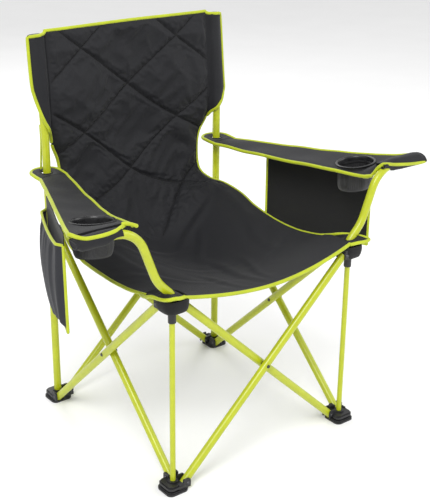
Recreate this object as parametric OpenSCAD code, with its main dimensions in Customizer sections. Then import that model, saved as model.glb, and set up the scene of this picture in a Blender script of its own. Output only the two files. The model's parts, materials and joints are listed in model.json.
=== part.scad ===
// Folding camp chair: a steel quad frame of eight crossed bars, four feet and
// four sliding or socketed brackets, with a fabric sling, padded back,
// armrests with cup holders, and side pockets.
// Front is -Y, up is +Z, left is -X as seen from the front. The origin is on
// the ground in the middle of the four feet. All sizes are in millimetres.

/* [Frame] */
// Distance between the axes of neighbouring legs, the same in both directions
span = 518; // [500:1:536]
// Height of the pivots in the four feet
foot_pivot_z = 18; // [18:1:20]
// Height of the pivots in the four brackets under the seat
top_pivot_z = 460; // [450:1:472]
// Distance of each pivot from its leg's axis
pivot_inset = 26; // [26:0.5:27]
// Outer diameter of the cross bars, rear posts and arm posts
bar_d = 19; // [17:0.5:19]
// Wall of every steel tube
tube_wall = 1.2; // [0.8:0.1:1.6]
// Distance of a bar's axis from the leg plane, outwards or inwards
bar_offset = 10.5; // [10.4:0.1:11]
// Diameter of the pins and rivets
pin_d = 5; // [4:0.5:6]

/* [Rear posts] */
// Height at which the rear posts bend back
post_bend_z = 693; // [688:1:708]
// Angle by which their upper part leans back
post_lean = 4.8; // [2:0.1:6]
// Height of the top of the rear posts
post_top_z = 945; // [918:1:968]

/* [Front legs] */
// Outer diameter of the lower tube of each front leg
leg_d = 12.7; // [12:0.1:13]
// Diameter of the rod that slides in it
rod_d = 8; // [6:0.5:9]
// Height of the top of the lower tube
leg_top_z = 432; // [418:1:434]
// Height of the lower end of the rod
rod_bottom_z = 180; // [140:5:210]

/* [Arm posts] */
// Height at which the arm post leaves its bracket and bends outwards
arm_bend_z = 472; // [470:1:474]
// Length of the straight stretch that runs outwards at 45 degrees
arm_flare = 20; // [14:1:24]
// Length of the steep stretch below the armrest
arm_rise = 66; // [60:1:70]
// Length of the level stretch inside the armrest's sleeve
arm_level = 82; // [70:1:90]

/* [Fabric] */
// Thickness of the sling and back panel
sling_t = 5; // [3:0.5:6]
// Half width of the padded panel between the back sleeves
panel_half = 234; // [225:1:234]
// Half width of each flat back sleeve
sleeve_half = 24; // [20:1:24]
// Height of the top of the back sleeves
back_top_z = 953; // [948:1:963]

/* [Armrests] */
// Height of the armrest's middle plane at its rear loop
arm_rear_z = 616; // [608:1:622]
// Height of the armrest's middle plane just behind the arm post
arm_front_z = 636; // [628:1:642]
// Thickness of the padded armrest
arm_t = 8; // [5:0.5:10]
// Height by which the rear loop slides up its post when the chair folds
loop_travel = 80; // [60:1:82]

/* [Cup holders] */
// Outer diameter of the rim
ring_d = 100; // [94:1:104]
// Diameter of the opening
cup_d = 84; // [80:1:86]
// Depth of the mesh cup below the armrest
cup_depth = 84; // [60:1:95]

/* [Side pockets] */
// Thickness of each pocket, from its inner wall to its outer wall
pocket_t = 30; // [22:1:34]
// Thickness of the pocket's fabric walls
pocket_wall = 2.5; // [2:0.5:3]
// Height of the pocket's top edge
pocket_top_z = 614; // [603:1:615]

/* [Hidden] */
$fn = 48;
half = span / 2;
bar_r = bar_d / 2;
post_r = bar_d / 2;
leg_r = leg_d / 2;
rod_r = rod_d / 2;
run = span - 2 * pivot_inset;
rise = top_pivot_z - foot_pivot_z;
bar_len = sqrt(run * run + rise * rise);
bar_angle = atan2(rise, run);
mid_z = (foot_pivot_z + top_pivot_z) / 2;
bar_tail = 8;
pivot_gap = 0.1;
slot_gap = 0.5;
cheek_t = 4;
cheek_reach = bar_r + slot_gap + cheek_t;
cheek_edge = bar_offset + cheek_reach;
socket_r = 12.5;
slot_start = 13;
cheek_end = 33;
cheek_nose = cheek_end - pivot_inset;
head_r = 4.5;
head_t = 1.6;
through = 60;

tread = 56;
tread_h = 8;
tread_round = 13;
foot_cheek_top = 12;
foot_slot_z = 4.8;
foot_waist_top = 12;
foot_core_top = 24;
post_bottom_z = 5;

bracket_low = -9;
bracket_high = 14;
bracket_slot_top = 12.6;
bracket_cap_t = 1.4;
front_core_low = -11;
rear_core_low = -14;
rear_core_high = 16;
arm_socket_z = 4;
post_run_gap = 0.25;

bend_r = 200;
bend_step = 8;
arm_bends = [[30, 45], [100, -24], [75, 69]];
leg_wall = 1;
collar_r = 9;
collar_h = 22;
collar_grip = 12;
collar_cone = 2;

sleeve_cover = 3.1;
sleeve_start = 22;
slide_gap = 0.3;
corner_z = 477;
corner_t = 3.5;
corner_side = 58;

// Turn of every bar between the open and the folded chair
fold_angle = 45;
bracket_lift = bar_len * sin(bar_angle + fold_angle) - rise;

arm_rear_y = half - 34;
arm_front_y = -half + 18;
arm_length = arm_rear_y - arm_front_y;
arm_tilt = atan2(arm_front_z - arm_rear_z, arm_length);
arm_inner_front = 343;
arm_inner_rear = 224;
arm_outer_front = 488;
arm_outer_rear = 296;
// Both flaps of the armrest reach the same height when they hang folded
arm_split_y = arm_front_y + (arm_length + bracket_lift + arm_front_z - arm_rear_z - loop_travel) / 2;
sleeve_wall = 3;
loop_gap = 17;
loop_r = 36;

cup_x = 381;
cup_y = -147;
cup_wall = 2;
cup_neck = 8;
rim_t = 2;
rim_cone = 1.5;
rim_slope = 5;

frame_paint = "#C3CC2E";
plastic = "#1C1C1E";
fabric = "#45464B";
mesh_black = "#2A2A2C";
steel = "#8A8C90";

// ---------------------------------------------------------------- placing

// Turns a shape that is drawn for the front left corner to corner k
module at_corner(k) {
    rotate([0, 0, 90 * k])
        translate([-half, -half, 0])
            children();
}

// Mirrors a shape that is drawn on the right to the left for side -1
module on_side(side) {
    mirror([side < 0 ? 1 : 0, 0, 0])
        children();
}

// ---------------------------------------------------------------- tubes

module ring_2d(r, wall) {
    difference() {
        circle(r = r);
        circle(r = r - wall);
    }
}

module straight_tube(r, length) {
    linear_extrude(height = length)
        ring_2d(r, tube_wall);
}

// A bent tube lies in the XZ plane and follows steps of [straight length, bend
// radius, bend angle]. A positive angle turns its heading from +Z towards +X.
// Each place on it is [x, z, heading].
function after_straight(s, p) = [p[0] + s[0] * sin(p[2]), p[1] + s[0] * cos(p[2]), p[2]];

function on_bend(s, p, t) =
    let (r = sign(s[2]) * s[1])
    [
        p[0] + r * (cos(p[2]) - cos(p[2] + t)),
        p[1] + r * (sin(p[2] + t) - sin(p[2])),
        p[2] + t
    ];

function step_places(s, p) =
    let (q = after_straight(s, p), n = ceil(abs(s[2]) / bend_step))
    concat([q], [for (k = [1:1:n]) on_bend(s, q, s[2] * k / n)]);

function path_places(steps, i = 0, p = [0, 0, 0]) =
    i == len(steps) ? [] :
    let (places = step_places(steps[i], p))
    concat(places, path_places(steps, i + 1, places[len(places) - 1]));

function ring_points(p, r, sides) = [
    for (k = [0:sides - 1])
        let (t = 360 * k / sides)
        [p[0] + r * cos(t) * cos(p[2]), r * sin(t), p[1] - r * cos(t) * sin(p[2])]
];

// Open tube along a path of bends and straights
module bent_tube(r, steps, sides = 24) {
    places = concat([[0, 0, 0]], path_places(steps));
    rings = len(places);
    outer = [for (p = places) each ring_points(p, r, sides)];
    inner = [for (p = places) each ring_points(p, r - tube_wall, sides)];
    n = len(outer);
    last = (rings - 1) * sides;
    walls = [
        for (j = [0:rings - 2], k = [0:sides - 1])
            let (a = j * sides + k, b = j * sides + (k + 1) % sides)
            [a, b, b + sides, a + sides]
    ];
    ends = [for (k = [0:sides - 1]) [k, (k + 1) % sides]];
    polyhedron(
        points = concat(outer, inner),
        faces = concat(
            [for (w = walls) [w[0], w[2], w[1]]],
            [for (w = walls) [w[0], w[3], w[2]]],
            [for (w = walls) [w[0] + n, w[1] + n, w[2] + n]],
            [for (w = walls) [w[0] + n, w[2] + n, w[3] + n]],
            [for (e = ends) [e[0], e[1], e[1] + n]],
            [for (e = ends) [e[0], e[1] + n, e[0] + n]],
            [for (e = ends) [e[1] + last, e[0] + last, e[0] + last + n]],
            [for (e = ends) [e[1] + last, e[0] + last + n, e[1] + last + n]]
        )
    );
}

// ---------------------------------------------------------------- bars

// Cross bar in the front plane, rising towards +X for dir 1
module front_bar(dir) {
    color(frame_paint)
        translate([0, -half - dir * bar_offset, mid_z])
            mirror([dir < 0 ? 1 : 0, 0, 0])
                rotate([0, -bar_angle, 0])
                    difference() {
                        translate([-bar_len / 2 - bar_tail, 0, 0])
                            rotate([0, 90, 0])
                                straight_tube(bar_r, bar_len + 2 * bar_tail);
                        for (x = [-bar_len / 2, 0, bar_len / 2])
                            translate([x, bar_d, 0])
                                rotate([90, 0, 0])
                                    cylinder(r = pin_d / 2 + pivot_gap, h = 2 * bar_d);
                    }
}

module bar_outer(k) {
    rotate([0, 0, 90 * k])
        front_bar(1);
}

module bar_inner(k) {
    rotate([0, 0, 90 * k])
        front_bar(-1);
}

// Pin along -Y to +Y with a head at each end
module headed_pin(y0, y1) {
    translate([0, y1, 0])
        rotate([90, 0, 0])
            cylinder(r = pin_d / 2, h = y1 - y0);
    translate([0, y0, 0])
        rotate([90, 0, 0])
            cylinder(r1 = head_r, r2 = head_r - 1, h = head_t);
    translate([0, y1, 0])
        rotate([-90, 0, 0])
            cylinder(r1 = head_r, r2 = head_r - 1, h = head_t);
}

// Rivet at the middle of one side's crossed bars, with a washer between them
module rivet(k) {
    play = 0.2;
    reach = bar_offset + bar_r + play;
    washer_half = bar_offset - bar_r - play;
    color(plastic)
        rotate([0, 0, 90 * k])
            translate([0, -half, mid_z]) {
                headed_pin(-reach, reach);
                translate([0, washer_half, 0])
                    rotate([90, 0, 0])
                        cylinder(r = head_r, h = 2 * washer_half);
            }
}

// ---------------------------------------------------------------- feet and brackets

module rounded_square(side, r) {
    offset_side = side - 2 * r;
    square([offset_side, side], center = true);
    square([side, offset_side], center = true);
    for (x = [-1, 1])
        for (y = [-1, 1])
            translate([x * offset_side / 2, y * offset_side / 2])
                circle(r = r);
}

// The two cheeks that hold one bar, running along +X with the bar's axis at
// y = shift, from z0 to z1. The bar's pivot is at height 0.
module cheeks_x(shift, z0, z1) {
    nose_z = z1 - cheek_nose;
    for (y = [-1, 1])
        translate([0, shift + y * (bar_r + slot_gap + cheek_t / 2) + cheek_t / 2, 0])
            rotate([90, 0, 0])
                linear_extrude(height = cheek_t) {
                    translate([slot_start, z0])
                        square([pivot_inset - slot_start, z1 - z0]);
                    translate([0, z0])
                        square([cheek_end, nose_z - z0]);
                    translate([pivot_inset, nose_z])
                        circle(r = cheek_nose);
                }
}

// Clears the space in which the bar's end turns
module slot_x(shift, z0, z1) {
    translate([slot_start, shift - bar_r - slot_gap, z0])
        cube([through, 2 * (bar_r + slot_gap), z1 - z0]);
}

// Hole for a bar's pin, with room for its heads in the cheeks beside them
module pin_hole_x(shift) {
    room = 0.3;
    translate([pivot_inset, shift, 0])
        rotate([90, 0, 0]) {
            cylinder(r = pin_d / 2, h = 2 * through, center = true);
            for (z = [cheek_reach, -cheek_reach - head_t - room])
                translate([0, 0, z])
                    cylinder(r = head_r + room, h = head_t + room);
        }
}

// Swaps X and Y, so that the side bar's parts mirror the front bar's
module along_y() {
    mirror([1, -1, 0])
        children();
}

// Foot of corner k, with a socket of radius leg for its leg
module foot(k, leg) {
    low = tread_h - foot_pivot_z;
    slot_low = foot_slot_z - foot_pivot_z;
    color(plastic)
        at_corner(k)
            difference() {
                union() {
                    foot_tread();
                    cylinder(r = socket_r, h = foot_core_top);
                    translate([0, 0, foot_pivot_z]) {
                        cheeks_x(-bar_offset, low, foot_cheek_top);
                        along_y()
                            cheeks_x(bar_offset, low, foot_cheek_top);
                    }
                }
                translate([0, 0, post_bottom_z])
                    cylinder(r = leg, h = through);
                translate([0, 0, foot_pivot_z]) {
                    slot_x(-bar_offset, slot_low, through);
                    pin_hole_x(-bar_offset);
                    along_y() {
                        slot_x(bar_offset, slot_low, through);
                        pin_hole_x(bar_offset);
                    }
                }
            }
}

// Pad that rests on the ground, a waist above it and an upper flange
module foot_tread() {
    heights = [0, tread_h - 3, tread_h, foot_waist_top, foot_core_top - 6, foot_core_top - 3];
    insets = [0, 2, 7.5, 2.5, 5];
    for (i = [0:4])
        translate([0, 0, heights[i]])
            linear_extrude(height = heights[i + 1] - heights[i])
                rounded_square(tread - 2 * insets[i], tread_round - insets[i] / 2);
}

// The pins of corner k at height z: near is the front bar's side of the leg
module corner_pins(k, z, front_shift, side_shift) {
    color(steel)
        at_corner(k)
            translate([0, 0, z]) {
                translate([pivot_inset, front_shift, 0])
                    headed_pin(-cheek_reach, cheek_reach);
                along_y()
                    translate([pivot_inset, side_shift, 0])
                        headed_pin(-cheek_reach, cheek_reach);
            }
}

module foot_pins(k) {
    corner_pins(k, foot_pivot_z, -bar_offset, bar_offset);
}

module bracket_pins(k) {
    corner_pins(k, top_pivot_z, bar_offset, -bar_offset);
}

// Solid outline of a bracket: a core on the leg's axis and four cheeks
module bracket_body(core_low, core_high) {
    translate([0, 0, core_low])
        cylinder(r = socket_r, h = core_high - core_low);
    cheeks_x(bar_offset, bracket_low, bracket_high);
    along_y()
        cheeks_x(-bar_offset, bracket_low, bracket_high);
    translate([0, 0, bracket_slot_top])
        linear_extrude(height = bracket_cap_t)
            bracket_cap_2d();
}

module bracket_slots() {
    slot_x(bar_offset, -through, bracket_slot_top);
    pin_hole_x(bar_offset);
    along_y() {
        slot_x(-bar_offset, -through, bracket_slot_top);
        pin_hole_x(-bar_offset);
    }
}

// Front bracket: holds two bar ends, the leg's rod below and the arm post above
module bracket_front(k) {
    color(plastic)
        at_corner(k)
            translate([0, 0, top_pivot_z])
                difference() {
                    bracket_body(front_core_low, arm_bend_z - top_pivot_z);
                    bracket_slots();
                    translate([0, 0, front_core_low - 1])
                        cylinder(r = rod_r, h = -front_core_low - 1);
                    translate([0, 0, arm_socket_z])
                        cylinder(r = post_r, h = through);
                }
}

// Plate that ties the bracket's cheeks together above the bars
module bracket_cap_2d() {
    square([cheek_end, cheek_edge]);
    translate([-cheek_edge, 0])
        square([cheek_edge, cheek_end]);
    circle(r = cheek_edge);
}

// Rear bracket: holds two bar ends and slides on the rear post
module bracket_rear(k) {
    color(plastic)
        at_corner(k)
            translate([0, 0, top_pivot_z])
                difference() {
                    bracket_body(rear_core_low, rear_core_high);
                    bracket_slots();
                    translate([0, 0, -through / 2])
                        cylinder(r = post_r + post_run_gap, h = through);
                }
}

// ---------------------------------------------------------------- posts and legs

module rear_post(side) {
    arc_rise = bend_r * sin(post_lean);
    upper = (post_top_z - post_bend_z - arc_rise) / cos(post_lean);
    steps = [[post_bend_z - post_bottom_z, bend_r, post_lean], [upper, 0, 0]];
    color(frame_paint)
        translate([side * half, half, post_bottom_z])
            rotate([0, 0, 90])
                bent_tube(post_r, steps);
}

module front_leg_tube(side) {
    color(frame_paint)
        translate([side * half, -half, post_bottom_z])
            linear_extrude(height = leg_top_z - post_bottom_z)
                ring_2d(leg_r, leg_wall);
}

module leg_collar(side) {
    color(plastic)
        translate([side * half, -half, leg_top_z - collar_grip])
            difference() {
                union() {
                    cylinder(r = collar_r, h = collar_h);
                    translate([0, 0, collar_h])
                        cylinder(r1 = collar_r, r2 = collar_r - 1.5, h = collar_cone);
                }
                translate([0, 0, -1])
                    cylinder(r = leg_r, h = collar_grip + 1);
                cylinder(r = rod_r + pivot_gap, h = through);
            }
}

module leg_rod(side) {
    color(steel)
        translate([side * half, -half, rod_bottom_z])
            cylinder(r = rod_r, h = top_pivot_z - 2 - rod_bottom_z);
}

arm_base_z = top_pivot_z + arm_socket_z;
arm_steps = [
    [arm_bend_z - arm_base_z, arm_bends[0][0], arm_bends[0][1]],
    [arm_flare, arm_bends[1][0], arm_bends[1][1]],
    [arm_rise, arm_bends[2][0], arm_bends[2][1]],
    [arm_level, 0, 0]
];
// Place where the level stretch starts, from the post's axis at its base
arm_bent = path_places([arm_steps[0], arm_steps[1], arm_steps[2]]);
arm_level_start = arm_bent[len(arm_bent) - 1];
arm_level_x = half + arm_level_start[0];
arm_level_z = arm_base_z + arm_level_start[1];

module arm_post(side) {
    color(frame_paint)
        on_side(side)
            translate([half, -half, arm_base_z])
                bent_tube(post_r, arm_steps);
}

// ---------------------------------------------------------------- sling

// The sling's long profile, from the top of the back to the front of the seat:
// [half width, side edge's y, side edge's z, middle's y, middle's z]
sling = [
    [panel_half, 280, 951, 284, 953],
    [panel_half, 275, 888, 291, 890],
    [panel_half, 270, 818, 295, 818],
    [panel_half, 266, 748, 296, 746],
    [224, 274, 688, 296, 674],
    [210, 282, 638, 291, 610],
    [205, 280, 588, 279, 553],
    [216, 266, 550, 256, 500],
    [258, 242, 519, 228, 458],
    [268, 205, 509, 185, 422],
    [264, 150, 491, 140, 401],
    [258, 85, 472, 75, 393],
    [254, 0, 460, 0, 393],
    [253, -80, 458, -80, 402],
    [250, -150, 467, -150, 415],
    [244, -220, 480, -225, 430],
    [238, -276, 484, -283, 440]
];

// Catmull-Rom value of sling column c at the station v
function sling_at(v, c) =
    let (
        last = len(sling) - 1,
        i = min(floor(v), last - 1),
        t = v - i,
        p0 = sling[max(i - 1, 0)][c],
        p1 = sling[i][c],
        p2 = sling[i + 1][c],
        p3 = sling[min(i + 2, last)][c]
    )
    p1 + t / 2 * (p2 - p0 + t * (2 * p0 - 5 * p1 + 4 * p2 - p3 + t * (3 * (p1 - p2) + p3 - p0)));

// How far the sling has risen from its middle towards its side edge, 0 to 1:
// a round hollow at the back, a hammock at the front of the seat
function side_rise(u, v) =
    let (
        hollow = pow(sin(90 * min(1, abs(u) / 0.9)), 2),
        hammock = pow(abs(u), 1.3),
        k = min(1, max(0, (v - 12) / 3))
    )
    hollow + k * (hammock - hollow);

// Point of the sling's middle surface, u from -1 to 1 across
function sling_point(u, v) =
    let (s = side_rise(u, v))
    [
        u * sling_at(v, 0),
        sling_at(v, 3) + s * (sling_at(v, 1) - sling_at(v, 3)),
        sling_at(v, 4) + s * (sling_at(v, 2) - sling_at(v, 4))
    ];

// Unit normal of the middle profile in the YZ plane, facing the sitter
function sling_normal(v) =
    let (
        step = 0.01,
        lower = max(v - step, 0),
        upper = min(v + step, len(sling) - 1),
        dy = sling_at(upper, 3) - sling_at(lower, 3),
        dz = sling_at(upper, 4) - sling_at(lower, 4),
        n = norm([dy, dz])
    )
    [0, dz / n, -dy / n];

// Grid of points at the distance out from the middle surface
function sling_grid(v0, v1, rows, columns, out) = [
    for (j = [0:rows], i = [0:columns])
        let (v = v0 + (v1 - v0) * j / rows)
        sling_point(2 * i / columns - 1, v) + out * sling_normal(v)
];

// Closed sheet between the stations v0 and v1
module sling_sheet(v0, v1, rows, columns = 16) {
    front = sling_grid(v0, v1, rows, columns, sling_t / 2);
    back = sling_grid(v0, v1, rows, columns, -sling_t / 2);
    n = len(front);
    w = columns + 1;
    quads = [
        for (j = [0:rows - 1], i = [0:columns - 1])
            let (a = j * w + i)
            [a, a + 1, a + w + 1, a + w]
    ];
    rim = concat(
        [for (i = [0:columns - 1]) [i + 1, i]],
        [for (i = [0:columns - 1]) [rows * w + i, rows * w + i + 1]],
        [for (j = [0:rows - 1]) [j * w, (j + 1) * w]],
        [for (j = [0:rows - 1]) [(j + 1) * w + columns, j * w + columns]]
    );
    faces = concat(
        [for (q = quads) [q[0], q[1], q[2]]],
        [for (q = quads) [q[0], q[2], q[3]]],
        [for (q = quads) [q[2] + n, q[1] + n, q[0] + n]],
        [for (q = quads) [q[3] + n, q[2] + n, q[0] + n]],
        [for (e = rim) [e[0], e[1], e[1] + n]],
        [for (e = rim) [e[0], e[1] + n, e[0] + n]]
    );
    color(fabric)
        polyhedron(points = concat(front, back), faces = faces);
}

module back_panel() {
    sling_sheet(0, 7.98, 16);
}

module seat_rear() {
    sling_sheet(8.02, 11.99, 10);
}

module seat_front() {
    sling_sheet(12.01, 16, 10);
}

// Flat sleeve around the leaning part of a rear post
module back_sleeve(side) {
    lens_t = post_r + sleeve_cover;
    lens_r = (sleeve_half * sleeve_half + lens_t * lens_t) / (2 * lens_t);
    lean_z = post_bend_z + bend_r * tan(post_lean / 2);
    length = (back_top_z - lean_z) / cos(post_lean) - sleeve_start;
    color(fabric)
        translate([side * half, half, lean_z])
            rotate([-post_lean, 0, 0])
                translate([0, 0, sleeve_start])
                    linear_extrude(height = length)
                        difference() {
                            intersection_for(y = [-1, 1])
                                translate([0, y * (lens_r - lens_t)])
                                    circle(r = lens_r, $fn = 96);
                            circle(r = post_r + slide_gap);
                        }
}

// Reinforced front corner of the seat, with the slot that the arm post passes
module seat_corner(side) {
    shift = [15, -2];
    slot_shift = 2.5;
    color(fabric)
        on_side(side)
            translate([half, -half, corner_z])
                difference() {
                    translate(shift)
                        linear_extrude(height = corner_t)
                            rounded_square(corner_side, tread_round);
                    translate([slot_shift, 0, -1])
                        cylinder(r = post_r + cheek_t, h = through);
                }
}

// ---------------------------------------------------------------- armrests

// Inner and outer edge of the armrest at the place y between front and rear
function arm_share(y) = (y - arm_front_y) / arm_length;
function arm_inner(y) = arm_inner_front + (arm_inner_rear - arm_inner_front) * arm_share(y);
function arm_outer(y) = arm_outer_front + (arm_outer_rear - arm_outer_front) * arm_share(y);

// Puts children into the armrest's plane, z = 0 on its middle surface
module in_arm_plane() {
    translate([0, arm_rear_y, arm_rear_z])
        rotate([-arm_tilt, 0, 0])
            translate([0, -arm_rear_y, 0])
                children();
}

module armrest_slab(side, y0, y1) {
    color(fabric)
        on_side(side)
            in_arm_plane()
                difference() {
                    translate([0, 0, -arm_t / 2])
                        linear_extrude(height = arm_t)
                            polygon([
                                [arm_inner(y0), y0],
                                [arm_outer(y0), y0],
                                [arm_outer(y1), y1],
                                [arm_inner(y1), y1]
                            ]);
                    translate([cup_x, cup_y, -arm_t])
                        cylinder(d = cup_d + 2 * cup_wall + 2 * slide_gap, h = 2 * arm_t);
                }
}

module armrest_front(side) {
    armrest_slab(side, arm_front_y + 1, arm_split_y - 0.5);
}

module armrest_rear(side) {
    armrest_slab(side, arm_split_y + 0.5, arm_rear_y - 1);
}

// Sleeve of fabric around the arm post's level stretch
module arm_sleeve(side) {
    start = 6;
    end = 2;
    flap = [9, 17];
    outer_r = post_r + sleeve_wall;
    color(fabric)
        on_side(side)
            translate([arm_level_x - start, -half, arm_level_z])
                rotate([0, 90, 0])
                    linear_extrude(height = arm_level + start + end)
                        difference() {
                            union() {
                                circle(r = outer_r);
                                translate([-outer_r, 0])
                                    square(flap);
                            }
                            circle(r = post_r + slide_gap);
                        }
}

// Loop at the armrest's rear end, around the rear post
module arm_loop(side) {
    shift = [3, 2];
    loop_t = arm_t - 2;
    color(fabric)
        on_side(side)
            translate([half + shift[0], half + shift[1], arm_rear_z - loop_t / 2])
                linear_extrude(height = loop_t)
                    difference() {
                        union() {
                            circle(r = loop_r);
                            translate([-loop_r, -loop_r])
                                square([2 * loop_r, loop_r]);
                        }
                        circle(r = loop_gap);
                    }
}

module cup_ring(side) {
    color(plastic)
        on_side(side)
            in_arm_plane()
                translate([cup_x, cup_y, arm_t / 2])
                    difference() {
                        union() {
                            cylinder(d = ring_d, h = rim_t);
                            translate([0, 0, rim_t])
                                cylinder(d1 = ring_d, d2 = ring_d - rim_slope, h = rim_cone);
                            translate([0, 0, -arm_t - cup_neck])
                                cylinder(d = cup_d + 2 * cup_wall, h = arm_t + cup_neck + 1);
                        }
                        translate([0, 0, -through / 2])
                            cylinder(d = cup_d, h = through);
                    }
}

// Mesh cup below the rim's neck, closed at the bottom
module cup_mesh(side) {
    length = cup_depth - cup_neck - arm_t / 2;
    mesh_t = 1.5;
    color(mesh_black)
        on_side(side)
            in_arm_plane()
                translate([cup_x, cup_y, -arm_t / 2 - cup_neck - length])
                    difference() {
                        cylinder(d = cup_d + 2 * cup_wall, h = length);
                        translate([0, 0, mesh_t])
                            cylinder(d = cup_d + 2 * cup_wall - 2 * mesh_t, h = cup_depth);
                    }
}

// ---------------------------------------------------------------- side pockets

// Puts children into a frame that runs along the armrest's outer edge: +X goes
// from the front to the rear, +Z up, and +Y inwards
pocket_turn = atan2(arm_length, arm_outer_rear - arm_outer_front);
pocket_gap = 2;
pocket_mouth = 5;
module along_outer_edge() {
    translate([arm_outer_front, arm_front_y, 0])
        rotate([0, 0, pocket_turn])
            children();
}

// Side walls of a pocket, moved inwards by m: [front top, front bottom, rear
// bottom, rear top], each [distance along the edge, height]
function pocket_outline(p, m, top) = [
    [p[0] + m, top],
    [p[1] + m, p[4] + m],
    [p[2] - m, p[5] + m],
    [p[3] - m, top]
];

// p is [front top, front bottom, rear bottom, rear top, front bottom's height,
// rear bottom's height]
module pocket(side, p) {
    color(fabric)
        on_side(side)
            along_outer_edge()
                translate([0, -pocket_gap, 0])
                    rotate([90, 0, 0])
                        difference() {
                            linear_extrude(height = pocket_t)
                                polygon(pocket_outline(p, 0, pocket_top_z));
                            translate([0, 0, pocket_wall])
                                linear_extrude(height = pocket_t - 2 * pocket_wall)
                                    polygon(pocket_outline(p, pocket_wall, pocket_top_z + pocket_mouth));
                        }
}

module side_pocket_left() {
    pocket(-1, [72, 76, 300, 376, 425, 388]);
}

module side_pocket_right() {
    pocket(1, [110, 112, 404, 406, 400, 400]);
}

// ---------------------------------------------------------------- nodes

foot(0, leg_r);  // foot_front_left
foot(1, leg_r);  // foot_front_right
foot(2, post_r);  // foot_rear_right
foot(3, post_r);  // foot_rear_left
foot_pins(0);  // foot_pins_front_left
foot_pins(1);  // foot_pins_front_right
foot_pins(2);  // foot_pins_rear_right
foot_pins(3);  // foot_pins_rear_left
bar_outer(0);  // bar_front_outer
bar_inner(0);  // bar_front_inner
bar_outer(1);  // bar_right_outer
bar_inner(1);  // bar_right_inner
bar_outer(2);  // bar_back_outer
bar_inner(2);  // bar_back_inner
bar_outer(3);  // bar_left_outer
bar_inner(3);  // bar_left_inner
rivet(0);  // rivet_front
rivet(1);  // rivet_right
rivet(2);  // rivet_back
rivet(3);  // rivet_left
bracket_front(0);  // bracket_front_left
bracket_front(1);  // bracket_front_right
bracket_rear(2);  // bracket_rear_right
bracket_rear(3);  // bracket_rear_left
bracket_pins(0);  // bracket_pins_front_left
bracket_pins(1);  // bracket_pins_front_right
bracket_pins(2);  // bracket_pins_rear_right
bracket_pins(3);  // bracket_pins_rear_left
rear_post(-1);  // rear_post_left
rear_post(1);  // rear_post_right
front_leg_tube(-1);  // front_leg_tube_left
front_leg_tube(1);  // front_leg_tube_right
leg_collar(-1);  // leg_collar_left
leg_collar(1);  // leg_collar_right
leg_rod(-1);  // leg_rod_left
leg_rod(1);  // leg_rod_right
arm_post(-1);  // arm_post_left
arm_post(1);  // arm_post_right
back_sleeve(-1);  // back_sleeve_left
back_sleeve(1);  // back_sleeve_right
back_panel();
seat_rear();
seat_front();
seat_corner(-1);  // seat_corner_left
seat_corner(1);  // seat_corner_right
arm_sleeve(-1);  // arm_sleeve_left
arm_sleeve(1);  // arm_sleeve_right
armrest_front(-1);  // armrest_front_left
armrest_front(1);  // armrest_front_right
armrest_rear(-1);  // armrest_rear_left
armrest_rear(1);  // armrest_rear_right
arm_loop(-1);  // arm_loop_left
arm_loop(1);  // arm_loop_right
cup_ring(-1);  // cup_ring_left
cup_ring(1);  // cup_ring_right
cup_mesh(-1);  // cup_mesh_left
cup_mesh(1);  // cup_mesh_right
side_pocket_left();
side_pocket_right();
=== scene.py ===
import bpy
import json
import math
import numpy as np
from mathutils import Matrix, Vector


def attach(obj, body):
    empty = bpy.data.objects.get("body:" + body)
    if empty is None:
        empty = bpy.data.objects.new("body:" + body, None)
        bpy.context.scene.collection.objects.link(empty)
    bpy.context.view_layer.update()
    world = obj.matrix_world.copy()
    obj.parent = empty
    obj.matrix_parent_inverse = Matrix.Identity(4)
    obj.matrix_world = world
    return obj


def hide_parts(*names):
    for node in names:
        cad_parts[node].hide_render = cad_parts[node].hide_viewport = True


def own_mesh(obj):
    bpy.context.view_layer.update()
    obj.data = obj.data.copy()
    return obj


# Folding camp chair. Shapes are worked out in millimetres in the CAD's own frame (front is -Y, left is
# -X as seen from the front, the ground is z = 0) and written to meshes in metres.

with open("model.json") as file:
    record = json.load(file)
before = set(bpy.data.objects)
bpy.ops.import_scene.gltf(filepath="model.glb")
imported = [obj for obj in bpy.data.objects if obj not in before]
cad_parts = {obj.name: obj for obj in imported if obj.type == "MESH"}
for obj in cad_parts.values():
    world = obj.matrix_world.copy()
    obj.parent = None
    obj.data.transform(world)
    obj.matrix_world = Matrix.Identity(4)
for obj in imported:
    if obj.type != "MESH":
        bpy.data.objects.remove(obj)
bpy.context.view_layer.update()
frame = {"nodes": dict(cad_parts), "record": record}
MM = 0.001

# ---------------- main dimensions, as in the CAD

HALF = 259.0
TUBE_R = 9.5
POST_LOW_Z, POST_BEND_Z, POST_TOP_Z = 5.0, 693.0, 945.0
POST_BEND_R, POST_LEAN = 200.0, math.radians(4.8)
ARM_BASE_Z = 464.0
# Each step of the arm post: straight length, then the bend's radius and angle
ARM_STEPS = [(8.0, 30.0, 45.0), (20.0, 100.0, -24.0), (66.0, 75.0, 69.0), (82.0, 0.0, 0.0)]
ARM_LEVEL_Z, ARM_LEVEL_X, ARM_BEND_R = 651.9, 398.2, 75.0
ARM_REAR_Y, ARM_FRONT_Y, ARM_SPLIT_Y = 225.0, -241.0, 63.0
ARM_REAR_Z = 616.0
ARM_INNER = (343.0, 224.0)
ARM_OUTER = (488.0, 296.0)
CUP, CUP_HOLE_R = (381.0, -147.0), 44.6
QUILT = 220.0
QUILT_SLOPE = 0.786
QUILT_TOP = 796.0

# The bodies that the pieces ride on, by part and for each side
SIDE = {-1: "left", 1: "right"}
BODY = {"back": "rear_left_leg", "seat_rear": "seat_rear_half", "seat_front": "seat_front_half"}
for which, word in SIDE.items():
    BODY[which] = {"post": f"rear_{word}_leg", "arm": f"front_{word}_arm", "loop": f"{word}_arm_loop",
                   "flap": f"{word}_armrest_front", "rear_flap": f"{word}_armrest_rear"}

# ---------------- materials


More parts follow.
